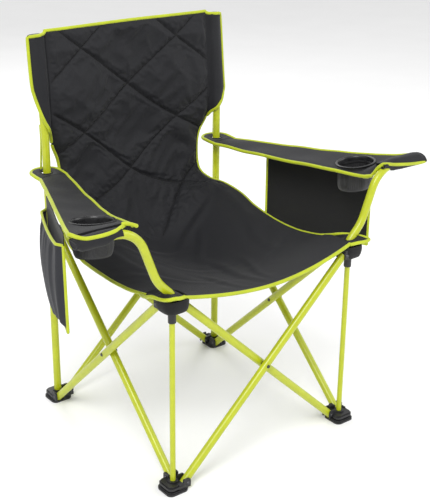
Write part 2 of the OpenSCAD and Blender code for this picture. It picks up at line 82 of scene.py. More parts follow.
def shader(name, color, roughness, **sockets):
    """A new material with its Principled shader, and constants set on its sockets."""
    mat = bpy.data.materials.new(name)
    mat.use_nodes = True
    bsdf = mat.node_tree.nodes["Principled BSDF"]
    bsdf.inputs["Base Color"].default_value = (*color, 1)
    bsdf.inputs["Roughness"].default_value = roughness
    for socket, value in sockets.items():
        bsdf.inputs[socket.replace("_", " ")].default_value = value
    mat.diffuse_color = (*color, 1)
    return mat, bsdf


def node(mat, kind, **inputs):
    """A new node with its input sockets set by name."""
    made = mat.node_tree.nodes.new(kind)
    for socket, value in inputs.items():
        made.inputs[socket.replace("_", " ")].default_value = value
    return made


def link(mat, output, socket):
    mat.node_tree.links.new(output, socket)


def place(mat):
    return node(mat, "ShaderNodeTexCoord").outputs["Object"]


def noise(mat, scale, detail=3.0, roughness=0.55):
    made = node(mat, "ShaderNodeTexNoise", Scale=scale, Detail=detail, Roughness=roughness)
    link(mat, place(mat), made.inputs["Vector"])
    return made.outputs["Fac"]


def bands(mat, scale, direction, distortion=0.0):
    made = node(mat, "ShaderNodeTexWave", Scale=scale, Distortion=distortion)
    made.bands_direction = direction
    link(mat, place(mat), made.inputs["Vector"])
    return made.outputs["Fac"]


def math_node(mat, operation, a, b):
    made = node(mat, "ShaderNodeMath")
    made.operation = operation
    for socket, value in zip(made.inputs, (a, b)):
        if isinstance(value, (int, float)):
            socket.default_value = value
        else:
            link(mat, value, socket)
    return made.outputs[0]


def mottle(mat, bsdf, fac, *stops):
    """Lets a factor run the base colour between two stops of (position, colour)."""
    made = node(mat, "ShaderNodeValToRGB")
    for element, (position, color) in zip(made.color_ramp.elements, stops):
        element.position, element.color = position, (*color, 1)
    link(mat, fac, made.inputs["Fac"])
    link(mat, made.outputs["Color"], bsdf.inputs["Base Color"])


def roughen(mat, bsdf, fac, low, high, **span):
    """Lets a factor run the roughness from low to high."""
    made = node(mat, "ShaderNodeMapRange", To_Min=low, To_Max=high, **span)
    link(mat, fac, made.inputs["Value"])
    link(mat, made.outputs["Result"], bsdf.inputs["Roughness"])


def bump(mat, bsdf, layers):
    """Stacks bump layers of (height, strength, distance)."""
    previous = None
    for height, strength, distance in layers:
        made = node(mat, "ShaderNodeBump", Strength=strength, Distance=distance)
        link(mat, height, made.inputs["Height"])
        if previous is not None:
            link(mat, previous, made.inputs["Normal"])
        previous = made.outputs["Normal"]
    link(mat, previous, bsdf.inputs["Normal"])


def tint(color, k):
    return tuple(min(1.0, c * k) for c in color)


# The middle of a noise texture's output, where nearly all its values lie
MIDDLE = {"From_Min": 0.3, "From_Max": 0.7}


def powder_coat(name, color):
    """Lime powder coat: faint mottling, orange peel and a soft gloss."""
    mat, bsdf = shader(name, color, 0.34, Coat_Weight=0.25, Coat_Roughness=0.2)
    mottle(mat, bsdf, noise(mat, 45.0, 4.0), (0.3, tint(color, 0.93)), (0.7, tint(color, 1.06)))
    roughen(mat, bsdf, noise(mat, 120.0), 0.28, 0.42, **MIDDLE)
    bump(mat, bsdf, [(noise(mat, 900.0, 2.0), 0.08, 0.0004)])
    return mat


def plastic(name, color, roughness=0.45):
    """Moulded plastic: fine spark texture and scuffed, lighter patches."""
    mat, bsdf = shader(name, color, roughness)
    scuff = noise(mat, 60.0, 5.0, 0.65)
    mottle(mat, bsdf, scuff, (0.45, color), (0.75, tint(color, 2.2)))
    roughen(mat, bsdf, scuff, roughness - 0.08, roughness + 0.12, **MIDDLE)
    bump(mat, bsdf, [(noise(mat, 1500.0, 2.0), 0.25, 0.0003), (scuff, 0.1, 0.0006)])
    return mat


def metal(name, color, roughness=0.35):
    """Bare steel with a streaky gloss."""
    mat, bsdf = shader(name, color, roughness, Metallic=1.0)
    streak = noise(mat, 220.0, 4.0)
    roughen(mat, bsdf, streak, roughness - 0.1, roughness + 0.15)
    bump(mat, bsdf, [(streak, 0.1, 0.0003)])
    return mat


def cloth(name, color, thread=2200.0, lift=1.18, crease=0.35):
    """Woven polyester: two thread directions, slubs, faded patches and fine creases."""
    mat, bsdf = shader(name, color, 0.72, Sheen_Weight=0.07, Sheen_Roughness=0.4, Specular_IOR_Level=0.35)
    x, y, z = (bands(mat, thread / 6.283, axis) for axis in "XYZ")
    weave = math_node(mat, "MULTIPLY", math_node(mat, "ADD", math_node(mat, "ADD", x, z), y), 0.333)
    patches = noise(mat, 9.0, 5.0, 0.6)
    slubs = noise(mat, 700.0, 2.0)
    shade = math_node(mat, "ADD", math_node(mat, "MULTIPLY", weave, 0.35),
                      math_node(mat, "ADD", math_node(mat, "MULTIPLY", patches, 0.45),
                                math_node(mat, "MULTIPLY", slubs, 0.2)))
    mottle(mat, bsdf, shade, (0.3, tint(color, 0.8)), (0.7, tint(color, lift)))
    roughen(mat, bsdf, slubs, 0.64, 0.82, **MIDDLE)
    bump(mat, bsdf, [(weave, 0.25, 0.0004), (noise(mat, 55.0, 4.0), crease, 0.0012)])
    return mat


def binding_cloth(name, color):
    """Lime binding tape: close ribs, stitched dimples and worn, greener shade."""
    mat, bsdf = shader(name, color, 0.6, Sheen_Weight=0.2, Sheen_Roughness=0.4)
    ribs = math_node(mat, "ADD", bands(mat, 320.0, "X"), bands(mat, 320.0, "Z"))
    mottle(mat, bsdf, noise(mat, 25.0, 4.0), (0.3, tint(color, 0.88)), (0.7, tint(color, 1.08)))
    bump(mat, bsdf, [(math_node(mat, "MULTIPLY", ribs, 0.5), 0.35, 0.0005), (noise(mat, 90.0), 0.5, 0.0015)])
    return mat


def netting(name, color):
    """Black mesh: a grid of pale holes between dark threads."""
    mat, bsdf = shader(name, color, 0.6, Sheen_Weight=0.15)
    x, y, z = (bands(mat, 95.0, axis) for axis in "XYZ")
    grid = math_node(mat, "MAXIMUM", z, math_node(mat, "MAXIMUM", x, y))
    mottle(mat, bsdf, grid, (0.5, tint(color, 2.4)), (0.85, color))
    bump(mat, bsdf, [(grid, 0.6, 0.0008), (noise(mat, 40.0), 0.4, 0.002)])
    return mat


LIME = (0.44, 0.49, 0.008)
LIME_TAPE = (0.43, 0.50, 0.006)
CHARCOAL = (0.009, 0.0093, 0.0115)
M = {
    "frame_paint": powder_coat("lime_powder_coat", LIME),
    "rod_steel": metal("rod_steel", (0.5, 0.51, 0.53)),
    "pin_steel": metal("pin_steel", (0.09, 0.09, 0.095), 0.4),
    "rivet_black": plastic("rivet_black", (0.012, 0.012, 0.012), 0.3),
    "hub_plastic": plastic("hub_plastic", (0.011, 0.011, 0.012)),
    "cup_rim_plastic": plastic("cup_rim_plastic", (0.012, 0.012, 0.013), 0.3),
    "padded_fabric": cloth("padded_charcoal_cloth", CHARCOAL),
    "plain_fabric": cloth("charcoal_cloth", CHARCOAL, crease=0.2),
    "pocket_fabric": cloth("pocket_cloth", tint(CHARCOAL, 2.0), crease=0.4),
    "pocket_lining": cloth("black_lining", (0.003, 0.003, 0.0036), crease=0.3),
    "mesh_fabric": netting("black_mesh", (0.007, 0.007, 0.008)),
    "piping": binding_cloth("lime_binding", LIME_TAPE),
}

# ---------------- mesh building


def put(name, data):
    """A new object in the scene."""
    obj = bpy.data.objects.new(name, data)
    bpy.context.scene.collection.objects.link(obj)
    return obj


def add_mesh(name, verts, faces, slot):
    """A mesh piece from points in millimetres."""
    mesh = bpy.data.meshes.new(name)
    mesh.from_pydata((np.asarray(verts, float) * MM).tolist(), [], faces)
    mesh.update()
    mesh.polygons.foreach_set("use_smooth", [True] * len(mesh.polygons))
    mesh.set_sharp_from_angle(angle=math.radians(50))
    obj = put(name, mesh)
    mesh.materials.append(M[slot])
    return obj


def shell(name, front, back, slot, wrap=False):
    """A closed sheet between two grids of rows by columns of points. wrap joins each row's ends."""
    rows, cols = front.shape[:2]
    n = rows * cols
    verts = np.concatenate([front.reshape(-1, 3), back.reshape(-1, 3)])
    across = cols if wrap else cols - 1
    faces = []
    for j in range(rows - 1):
        for i in range(across):
            a, b = j * cols + i, j * cols + (i + 1) % cols
            faces.append((a, b, b + cols, a + cols))
            faces.append((a + n + cols, b + n + cols, b + n, a + n))
    for i in range(across):
        a, b = i, (i + 1) % cols
        faces.append((b, a, a + n, b + n))
        a, b = a + (rows - 1) * cols, b + (rows - 1) * cols
        faces.append((a, b, b + n, a + n))
    if not wrap:
        for j in range(rows - 1):
            a, b = j * cols, (j + 1) * cols
            faces.append((a, b, b + n, a + n))
            a, b = a + cols - 1, b + cols - 1
            faces.append((b, a, a + n, b + n))
    return add_mesh(name, verts, faces, slot)


def grid_normals(grid, wrap=False):
    """Unit normals of a grid of points, from its neighbours."""
    du = np.gradient(grid, axis=1)
    if wrap:
        du = (np.roll(grid, -1, axis=1) - np.roll(grid, 1, axis=1)) / 2
    dv = np.gradient(grid, axis=0)
    n = np.cross(du, dv)
    return n / np.maximum(np.linalg.norm(n, axis=2, keepdims=True), 1e-9)


def thick(name, grid, thickness, slot, wrap=False):
    """A closed sheet of a thickness about a grid of points."""
    n = grid_normals(grid, wrap)
    return shell(name, grid + n * thickness / 2, grid - n * thickness / 2, slot, wrap)


def spline(points, steps=8, closed=False):
    """Catmull-Rom curve through points."""
    p = [np.asarray(q, float) for q in points]
    count = len(p) if closed else len(p) - 1
    out = []
    for i in range(count):
        if closed:
            a, b, c, d = p[i - 1], p[i], p[(i + 1) % len(p)], p[(i + 2) % len(p)]
        else:
            a, b, c, d = p[max(i - 1, 0)], p[i], p[i + 1], p[min(i + 2, len(p) - 1)]
        for k in range(steps):
            t = k / steps
            out.append(b + t / 2 * (c - a + t * (2 * a - 5 * b + 4 * c - d + t * (3 * (b - c) + d - a))))
    if not closed:
        out.append(p[-1])
    return np.array(out)


def tube(name, path, radius, slot, sides=14, closed=False, flat=1.0):
    """A round tube along a path, with domed ends. flat squeezes it along its own normal."""
    path = np.asarray(path, float)
    tangents = np.roll(path, -1, axis=0) - np.roll(path, 1, axis=0) if closed else np.gradient(path, axis=0)
    tangents /= np.maximum(np.linalg.norm(tangents, axis=1, keepdims=True), 1e-9)
    normal = np.cross(tangents[0], (0.13, 0.21, 0.97))
    if np.linalg.norm(normal) < 0.2:
        normal = np.cross(tangents[0], (1.0, 0.1, 0.0))
    rings, radii = [], np.full(len(path), radius)
    if not closed:
        dome = radius * 0.35
        path = np.concatenate([[path[0] - tangents[0] * dome], path, [path[-1] + tangents[-1] * dome]])
        tangents = np.concatenate([tangents[:1], tangents, tangents[-1:]])
        radii = np.concatenate([[radius * 0.72], radii, [radius * 0.72]])
    turn = around(sides)
    for p, t, r in zip(path, tangents, radii):
        normal = normal - t * (normal @ t)
        normal /= np.linalg.norm(normal)
        side = np.cross(t, normal)
        rings.append(p + r * (np.outer(np.cos(turn), normal) * flat + np.outer(np.sin(turn), side)))
    rings = np.array(rings)
    rows = len(rings)
    verts = rings.reshape(-1, 3)
    faces = []
    for j in range(rows if closed else rows - 1):
        for i in range(sides):
            a, b = j * sides + i, j * sides + (i + 1) % sides
            c, d = ((j + 1) % rows) * sides + (i + 1) % sides, ((j + 1) % rows) * sides + i
            faces.append((a, d, c, b))
    if not closed:
        faces.append(tuple(range(sides)))
        faces.append(tuple(reversed(range((rows - 1) * sides, rows * sides))))
    return add_mesh(name, verts, faces, slot)


def ripple(x, y, size, seed):
    """Smooth, repeatable unevenness between about -1 and 1, with features of a size."""
    rng = np.random.default_rng(seed)
    total = np.zeros(np.broadcast(x, y).shape)
    for _ in range(7):
        angle, phase = rng.uniform(0, math.pi), rng.uniform(0, 2 * math.pi)
        wave = size * rng.uniform(0.7, 1.8)
        total = total + np.sin((x * math.cos(angle) + y * math.sin(angle)) * 2 * math.pi / wave + phase)
    return total / 3.2


def around(count):
    """Angles of evenly spaced places round a circle."""
    return np.linspace(0, 2 * math.pi, count, endpoint=False)


def places(x, y, z):
    """Points from arrays of coordinates."""
    return np.stack(np.broadcast_arrays(x, y, z), axis=-1)


def smooth(a, b, x):
    """Soft step from 0 at a to 1 at b."""
    t = np.clip((x - a) / (b - a), 0, 1)
    return t * t * (3 - 2 * t)


def mirrored(points, side):
    out = np.array(points, float)
    out[..., 0] *= side
    return out


def carry(obj, body, node_name=None, squash=None):
    """Lets a piece ride on a body, gives it a mesh of its own if a squash is given, and stands in for a CAD
    node if one is named.
    """
    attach(obj, body)
    if squash:
        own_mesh(obj)
    if node_name:
        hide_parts(node_name)
    return obj


def binding(name, path, body, radius=4.0, squash=None):
    """Lime binding along an edge, riding on a body."""
    carry(tube(name, path, radius, "piping", 12), body, squash=squash)


LAYER_T = 2.4


def layer(name, grid, side, body, node_name=None, slot="plain_fabric", wrap=False):
    """A sheet of thick cloth that rides on a body."""
    obj = thick(name, mirrored(grid, side), LAYER_T, slot, wrap)
    carry(obj, body, node_name)


# ---------------- camera, light and floor


def make_camera():
    """The photograph's viewing angle: azimuth -37.5 degrees, elevation 21.7 degrees."""
    azimuth, elevation, roll = math.radians(-37.51), math.radians(21.74), math.radians(0.46)
    data = bpy.data.cameras.new("camera")
    cam = put("camera", data)
    back = Vector((math.sin(azimuth) * math.cos(elevation), -math.cos(azimuth) * math.cos(elevation),
                   math.sin(elevation)))
    rotation = (-back).to_track_quat("-Z", "Y").to_matrix() @ Matrix.Rotation(roll, 3, "Z")
    cam.matrix_world = Matrix.Translation((-1.4550, -1.9384, 1.4289)) @ rotation.to_4x4()
    data.lens, data.sensor_width = 77.25, 36.0
    data.shift_x, data.shift_y = 0.0153, -0.0178
    data.clip_end = 50.0
    bpy.context.scene.camera = cam


def area_light(name, place_m, target_m, size, power):
    data = bpy.data.lights.new(name, "AREA")
    data.energy, data.size = power, size
    obj = put(name, data)
    obj.location = place_m
    obj.rotation_euler = (Vector(target_m) - Vector(place_m)).to_track_quat("-Z", "Y").to_euler()


def make_stage():
    scene = bpy.context.scene
    scene.view_settings.view_transform = "Standard"
    world = bpy.data.worlds.new("studio")
    world.use_nodes = True
    background = world.node_tree.nodes["Background"]
    background.inputs["Color"].default_value = (1.0, 1.0, 1.0, 1)
    background.inputs["Strength"].default_value = 0.8
    scene.world = world
    area_light("key", (-2.4, -2.0, 3.6), (0, 0, 0.5), 1.8, 120)
    area_light("fill", (2.8, -2.2, 2.2), (0, 0, 0.5), 2.5, 40)
    area_light("rim", (0.8, 3.0, 3.0), (0, 0, 0.6), 2.0, 45)
    mesh = bpy.data.meshes.new("floor")
    r = 14.0
    mesh.from_pydata([(-r, -r, 0), (r, -r, 0), (r, r, 0), (-r, r, 0)], [], [(0, 1, 2, 3)])
    floor = put("floor", mesh)
    mat, bsdf = shader("pale_floor", (0.93, 0.93, 0.93), 0.85)
    mottle(mat, bsdf, noise(mat, 3.0), (0.3, (0.92,) * 3), (0.7, (0.94,) * 3))
    mesh.materials.append(mat)


# ---------------- steel frame and plastic parts


def dress_frame():
    """Gives every CAD part that stays its material, and softens the edges of the moulded ones."""
    slots = {s["node"]: s["material_slot"] for s in frame["record"]["subparts"]}
    for name, obj in frame["nodes"].items():
        slot = slots[name]
        obj.data.materials.clear()
        obj.data.materials.append(M[slot])
        if slot in ("hub_plastic", "cup_rim_plastic"):
            bevel = obj.modifiers.new("soft_edges", "BEVEL")
            bevel.width, bevel.segments, bevel.limit_method = 0.0012, 2, "ANGLE"
            bevel.angle_limit = math.radians(40)
            bevel.harden_normals = False


def bent_path(steps, spacing=6.0):
    """Places (x, z) along a bent tube in the XZ plane, from its base, heading up."""
    x = z = heading = 0.0
    out = [(x, z)]
    for length, radius, angle in steps:
        n = max(1, int(length / spacing))
        for _ in range(n):
            x += math.sin(heading) * length / n
            z += math.cos(heading) * length / n
            out.append((x, z))
        if angle:
            n = max(2, int(abs(math.radians(angle)) * radius / 3.0))
            for _ in range(n):
                turn = math.radians(angle) / n
                chord = 2 * radius * math.sin(abs(turn) / 2)
                x += chord * math.sin(heading + turn / 2)
                z += chord * math.cos(heading + turn / 2)
                heading += turn
                out.append((x, z))
    return np.array(out)


def post_y(z):
    """The rear post's axis at height z."""
    bend_middle = POST_BEND_Z + POST_BEND_R * math.tan(POST_LEAN / 2)
    return HALF + np.maximum(0, z - bend_middle) * math.tan(POST_LEAN)


def make_posts():
    upper = (POST_TOP_Z - POST_BEND_Z - POST_BEND_R * math.sin(POST_LEAN)) / math.cos(POST_LEAN)
    rear_steps = [(POST_BEND_Z - POST_LOW_Z, POST_BEND_R, math.degrees(POST_LEAN)), (upper, 0, 0)]
    for side, name in SIDE.items():
        flat = bent_path(rear_steps, 25.0)
        path = [(side * HALF, HALF + x, POST_LOW_Z + z) for x, z in flat]
        post = tube(f"rear_post_{name}_tube", path, TUBE_R, "frame_paint", 28)
        carry(post, BODY[side]["post"], f"rear_post_{name}")
        flat = bent_path(ARM_STEPS)
        path = [(side * (HALF + x), -HALF, ARM_BASE_Z + z) for x, z in flat]
        post = tube(f"arm_post_{name}_tube", path, TUBE_R, "frame_paint", 28)
        carry(post, BODY[side]["arm"], f"arm_post_{name}")


# ---------------- sling: back and seat in one cloth

# Stations from the top of the back to the front of the seat:
# half width, side edge's y and z, middle's y and z
SLING = np.array([
    [236, 281, 954, 284, 955],
    [236, 275, 888, 291, 890],
    [236, 269, 818, 295, 818],
    [237, 266, 748, 296, 746],
    [236, 272, 688, 296, 674],
    [216, 282, 638, 291, 610],
    [209, 281, 588, 279, 553],
    [208, 268, 540, 256, 500],
    [222, 240, 517, 228, 458],
    [247, 203, 506, 185, 422],
    [260, 150, 490, 140, 401],
    [257, 85, 472, 75, 393],
    [256, 0, 459, 0, 396],
    [257, -80, 457, -80, 407],
    [257, -150, 467, -150, 422],
    [254, -215, 484, -225, 438],
    [244, -277, 487, -283, 448],
], float)
# The left side edge sags more than the right: outwards and down at each station
LEFT_SAG = np.array([[0, 0]] * 9 + [[6, -8], [9, -18], [12, -26], [14, -17], [13, -14], [13, -15],
                                    [14, -19], [3, -5]], float)
SLING_T = 5.0
# How far the quilting swells in front and behind, the grooves' depth and half width, and the radius of the
# black stitch lines, which also paint the grooves' shade
PUFF, REAR_PUFF, GROOVE, GROOVE_W, STITCH_AND_SHADE_R = 9.5, 3.5, 3.2, 2.6, 1.5
# What the simulation holds: the quilting this near its seams, and the plain seat by this share
HELD_SEAM, HELD_SEAT = 3.2, 0.4
# Lengths of cloth between which the quilting fades into the plain front of the seat, and its last stitch
QUILT_FADE, STITCH_END = (395, 440), 425
# Stations where the sling divides: back, rear half of the seat, front half
BACK_END, SEAT_SPLIT, SLING_END = 8.0, 12.0, 16.0


def station(v, column):
    last = len(SLING) - 1
    i = np.clip(np.floor(v).astype(int), 0, last - 1)
    t = v - i
    a, b = SLING[np.maximum(i - 1, 0), column], SLING[i, column]
    c, d = SLING[i + 1, column], SLING[np.minimum(i + 2, last), column]
    return b + t / 2 * (c - a + t * (2 * a - 5 * b + 4 * c - d + t * (3 * (b - c) + d - a)))


def sling_points(u, v):
    hollow = np.sin(np.pi / 2 * np.minimum(1, np.abs(u) / 0.9)) ** 2
    s = hollow + smooth(12, 15, v) * (np.abs(u) ** 1.9 - hollow)
    left = np.where(u < 0, np.abs(u) ** 3, 0.0)
    stations = np.arange(len(LEFT_SAG))
    x = u * station(v, 0) - left * np.interp(v, stations, LEFT_SAG[:, 0])
    y = station(v, 3) + s * (station(v, 1) - station(v, 3))
    z = station(v, 4) + s * (station(v, 2) - station(v, 4)) + left * np.interp(v, stations, LEFT_SAG[:, 1])
    return places(x, y, z)


def quilt_length(v):
    """Length of cloth along the middle of the sling, counted from the height QUILT_TOP down."""
    fine = np.linspace(0, SLING_END, 641)
    mid = np.stack([station(fine, 3), station(fine, 4)], axis=-1)
    run = np.concatenate([[0], np.cumsum(np.linalg.norm(np.diff(mid, axis=0), axis=1))])
    start = np.interp(-QUILT_TOP, -mid[:200, 1], run[:200])
    return np.interp(v, fine, run) - start


def seam_distance(x, s):
    """Distance to the nearest line of the diamond quilting."""
    out = None
    for sign in (-1, 1):
        a = s + sign * QUILT_SLOPE * x
        d = np.abs(a - QUILT * np.round(a / QUILT)) / math.hypot(1, QUILT_SLOPE)
        out = d if out is None else np.minimum(out, d)
    return out


def seat_creases(x, y):
    """Long soft folds of the seat: each has a centre, an angle, a length, a width and a depth."""
    out = np.zeros_like(x)
    for cx, cy, angle, length, width, depth in (
            (120, 150, 28, 130, 13, 3.6), (-120, 150, -28, 130, 13, 3.4), (60, 60, 60, 90, 12, 2.4),
            (-90, 20, -50, 110, 14, 2.6), (20, -120, 84, 120, 13, 2.6), (60, -150, 76, 80, 10, 2.2),
            (-60, -170, 96, 90, 12, 2.0), (150, -120, 40, 90, 14, 2.4), (-160, -110, -38, 100, 14, 2.4),
            (190, 20, 75, 120, 14, 2.6), (-195, 30, -75, 120, 14, 2.6)):
        c, s = math.cos(math.radians(angle)), math.sin(math.radians(angle))
        along, over = (x - cx) * c + (y - cy) * s, -(x - cx) * s + (y - cy) * c
        over = over + 8 * np.sin(along / 38.0)
        out += depth * np.exp(-(along / length) ** 2) * (np.exp(-(over / width) ** 2)
                                                       - 0.6 * np.exp(-((over - width * 1.5) / width) ** 2))
    return out


def billow(grid, hold, pressure, grow, frames=14, cap=13.0):
    """Swells a grid of cloth that is held in place by weights, by simulation."""
    rows, cols = grid.shape[:2]
    faces = [(j * cols + i, j * cols + i + 1, (j + 1) * cols + i + 1, (j + 1) * cols + i)
             for j in range(rows - 1) for i in range(cols - 1)]
    mesh = bpy.data.meshes.new("billow")
    mesh.from_pydata((grid.reshape(-1, 3) * MM).tolist(), [], faces)
    obj = put("billow", mesh)
    scene = bpy.context.scene
    group = obj.vertex_groups.new(name="hold")
    weights = hold.reshape(-1)
    for level in np.unique(weights):
        if level > 0:
            group.add(np.nonzero(weights == level)[0].tolist(), float(level), "REPLACE")
    modifier = obj.modifiers.new("cloth", "CLOTH")
    settings = modifier.settings
    settings.quality, settings.mass = 6, 0.3
    settings.tension_stiffness = settings.compression_stiffness = 12
    settings.shear_stiffness, settings.bending_stiffness = 6, 0.6
    settings.air_damping = 4
    settings.vertex_group_mass, settings.pin_stiffness = "hold", 1.2
    settings.shrink_min = -grow
    settings.use_pressure, settings.uniform_pressure_force = True, pressure
    settings.effector_weights.gravity = 0
    modifier.collision_settings.use_collision = False
    modifier.point_cache.frame_start, modifier.point_cache.frame_end = 1, frames
    for step in range(1, frames + 1):
        scene.frame_set(step)
    evaluated = obj.evaluated_get(bpy.context.evaluated_depsgraph_get())
    moved = np.empty(rows * cols * 3)
    evaluated.data.vertices.foreach_get("co", moved)
    moved = moved.reshape(grid.shape) / MM
    bpy.data.objects.remove(obj)
    scene.frame_set(1)
    delta = moved - grid
    length = np.linalg.norm(delta, axis=2, keepdims=True)
    return grid + delta * np.minimum(1, cap / np.maximum(length, 1e-6))


def quilt_seams_and_groove_shade(name, front, v, length, v0, v1, body):
    """Rows of stitching along the quilting, laid in the grooves of the swelled cloth: black lining cloth,
    darker than the sling, that is stitching and painted shade in the grooves.
    """
    rows, cols = front.shape[:2]
    verts, faces, sides = [], [], 6
    turn = around(sides)
    for sign in (-1, 1):
        for k in range(-4, 5):
            x = np.linspace(-246, 246, 165)
            s = k * QUILT - sign * QUILT_SLOPE * x
            at = np.interp(s, length, v)
            uu = x / station(np.clip(at, 0, SLING_END - 0.001), 0)
            good = (s > length[0] + 4) & (s < STITCH_END) & (np.abs(uu) < 0.985) & (at >= v0) & (at <= v1)
            runs = np.split(np.nonzero(good)[0], np.nonzero(np.diff(np.nonzero(good)[0]) > 1)[0] + 1)
            for run in runs:
                if len(run) < 3:
                    continue
                j, i = at[run] * (rows - 1) / SLING_END, (uu[run] + 1) / 2 * (cols - 1)
                j0, i0 = np.minimum(j.astype(int), rows - 2), np.minimum(i.astype(int), cols - 2)
                fj, fi = (j - j0)[:, None], (i - i0)[:, None]
                # Place on the swelled cloth, between the four nearest points of its grid
                path = (front[j0, i0] * (1 - fj) * (1 - fi) + front[j0 + 1, i0] * fj * (1 - fi)
                        + front[j0, i0 + 1] * (1 - fj) * fi + front[j0 + 1, i0 + 1] * fj * fi)
                along = np.gradient(path, axis=0)
                along /= np.linalg.norm(along, axis=1, keepdims=True)
                across = np.cross(along, (0.3, -1.0, 0.4))
                across /= np.linalg.norm(across, axis=1, keepdims=True)
                other = np.cross(along, across)
                base = len(verts)
                for p, a, b in zip(path, across, other):
                    verts.extend(p + STITCH_AND_SHADE_R * (math.cos(t) * a + math.sin(t) * b) for t in turn)
                for n in range(len(path) - 1):
                    for t in range(sides):
                        a, b = base + n * sides + t, base + n * sides + (t + 1) % sides
                        faces.append((a, b, b + sides, a + sides))
                faces.append(tuple(base + t for t in reversed(range(sides))))
                faces.append(tuple(base + (len(path) - 1) * sides + t for t in range(sides)))
    if verts:
        # The stitch lines take the black lining cloth, darker than the sling, so they paint the grooves'
        # shade as well as the stitching
        carry(add_mesh(name, verts, faces, "pocket_lining"), body, squash=SLING_SQUASH)


def make_sling():
    """Quilted back and seat: one cloth, swelled between its seams, then divided where it folds."""
    rows_per, cols = 24, 181
    rows = int(SLING_END) * rows_per + 1
    v = np.linspace(0, SLING_END, rows)[:, None]
    u = np.linspace(-1, 1, cols)[None, :]
    grid = sling_points(u, v)
    length = quilt_length(v[:, 0])[:, None]
    x = grid[..., 0]
    seam = seam_distance(x, length)
    quilted = 1 - smooth(*QUILT_FADE, length) * np.ones_like(x)
    edge = np.minimum((1 - np.abs(u)) * 240, np.minimum(v, SLING_END - v) * 70)
    normals = grid_normals(grid)
    normals *= np.sign(normals[rows // 4, cols // 2, 1]) * -1
    fade = smooth(0, 22, edge)
    swell = 1 - np.exp(-(seam / 20.0) ** 1.1)
    puff = quilted * PUFF * swell * fade
    wrinkle = 1.5 * ripple(x, length, 75, 3) + 1.1 * ripple(x + 0.6 * length, length, 36, 4)
    wrinkle = quilted * fade * wrinkle * swell
    pucker = quilted * fade * 0.9 * np.exp(-(seam / 14.0) ** 2) * ripple(x - 0.8 * length, length, 19, 8)
    creases = seat_creases(x, grid[..., 1]) * (1 - quilted) * smooth(0, 50, edge)
    front = grid + normals * (puff + wrinkle + pucker + creases + SLING_T / 2)[..., None]
    hold = np.where((seam < HELD_SEAM) & (quilted > 0.5), 1.0, 0.0)
    hold = np.where(quilted < 0.5, HELD_SEAT, hold)
    hold = np.where(edge < 8, 1.0, hold)
    coarse = front[::2, ::2]
    moved = billow(coarse, hold[::2, ::2], 2.5, 0.03) - coarse
    # The plain seat takes the smoothed movement, the quilting keeps most of its own
    calm = moved.copy()
    for _ in range(7):
        wide = np.pad(calm, ((1, 1), (1, 1), (0, 0)), mode="edge")
        calm = (calm * 2 + wide[2:, 1:-1] + wide[:-2, 1:-1] + wide[1:-1, 2:] + wide[1:-1, :-2]) / 6
    share = (0.15 + 0.85 * (1 - quilted[::2, ::2]))[..., None]
    moved = moved * (1 - share) + calm * share
    # Back from the coarse grid to the fine one, along and then across
    for axis in (0, 1):
        moved = np.moveaxis(moved, axis, 0)
        wide = np.empty((2 * len(moved) - 1, *moved.shape[1:]))
        wide[::2], wide[1::2] = moved, (moved[1:] + moved[:-1]) / 2
        moved = np.moveaxis(wide, 0, axis)
    front = front + moved
    groove = np.exp(-(seam / GROOVE_W) ** 2) * quilted * fade
    front = front - normals * (GROOVE * groove)[..., None]
    rear_puff = quilted * REAR_PUFF * (1 - np.exp(-(seam / 20.0) ** 2)) * fade
    back = grid - normals * (SLING_T / 2 + rear_puff)[..., None]
    cuts = [("back_quilt", 0, BACK_END, BODY["back"], "back_panel"),
            ("seat_quilt_rear", BACK_END, SEAT_SPLIT, BODY["seat_rear"], "seat_rear"),
            ("seat_quilt_front", SEAT_SPLIT, SLING_END, BODY["seat_front"], "seat_front")]
    for name, v0, v1, body, node_name in cuts:
        a, b = int(v0) * rows_per, int(v1) * rows_per + 1
        obj = carry(shell(name, front[a:b], back[a:b], "padded_fabric"), body, node_name, SLING_SQUASH)
        quilt_seams_and_groove_shade(name + "_stitching_and_groove_shade", front, v[:, 0], length[:, 0], v0, v1, body)


SLING_SQUASH = {"axis": (1, 0, 0), "anchor": (-0.238, 0, 0), "keep": 0.057}


def edge_path(side, v0, v1, steps=40):
    v = np.linspace(v0, v1, steps)
    return sling_points(np.full(steps, float(side)), v)


def make_sling_bindings():
    top = sling_points(np.linspace(-1, 1, 41), np.zeros(41))
    binding("binding_top", top + np.array([0, 0, 1.0]), BODY["back"], squash=SLING_SQUASH)
    for side, name in SIDE.items():
        for part, v0, v1, body in (("waist", 4.15, BACK_END, BODY["back"]),
                                   ("seat_rear", BACK_END, SEAT_SPLIT, BODY["seat_rear"]),
                                   ("seat_front", SEAT_SPLIT, 14.4, BODY["seat_front"])):
            binding(f"binding_{part}_{name}", edge_path(side, v0, v1), body, 3.9, squash=SLING_SQUASH)
    front = sling_points(np.linspace(-1, 1, 61), np.full(61, SLING_END))
    binding("binding_seat_edge", front + np.array([0, -1.5, 0]), BODY["seat_front"], 4.3, squash=SLING_SQUASH)


# ---------------- back sleeves

# Outer edge of the back below its straight part: height and half width
OUTLINE = {
    -1: np.array([[948, 281], [840, 281], [808, 277], [772, 270], [748, 262], [728, 252], [706, 240],
                  [688, 235]], float),
    1: np.array([[948, 281], [788, 283], [755, 284], [742, 281], [730, 274], [718, 261], [706, 250],
                 [694, 242], [681, 236]], float),
}


def outline_x(z, side):
    return np.interp(-z, -OUTLINE[side][:, 0], OUTLINE[side][:, 1])


def sleeve_bulge(x):
    """How far a layer of the sleeve stands off the post's axis at the half width x."""
    t = np.clip((x - HALF) / 24.5, -1, 1)
    return (TUBE_R + 3.4) * (1 - t * t) ** 0.75


def panel_edge_y(z):
    """How far back the panel's side edge is at height z."""
    v = np.linspace(0, 6, 121)
    return np.interp(-z, -station(v, 2), station(v, 1))


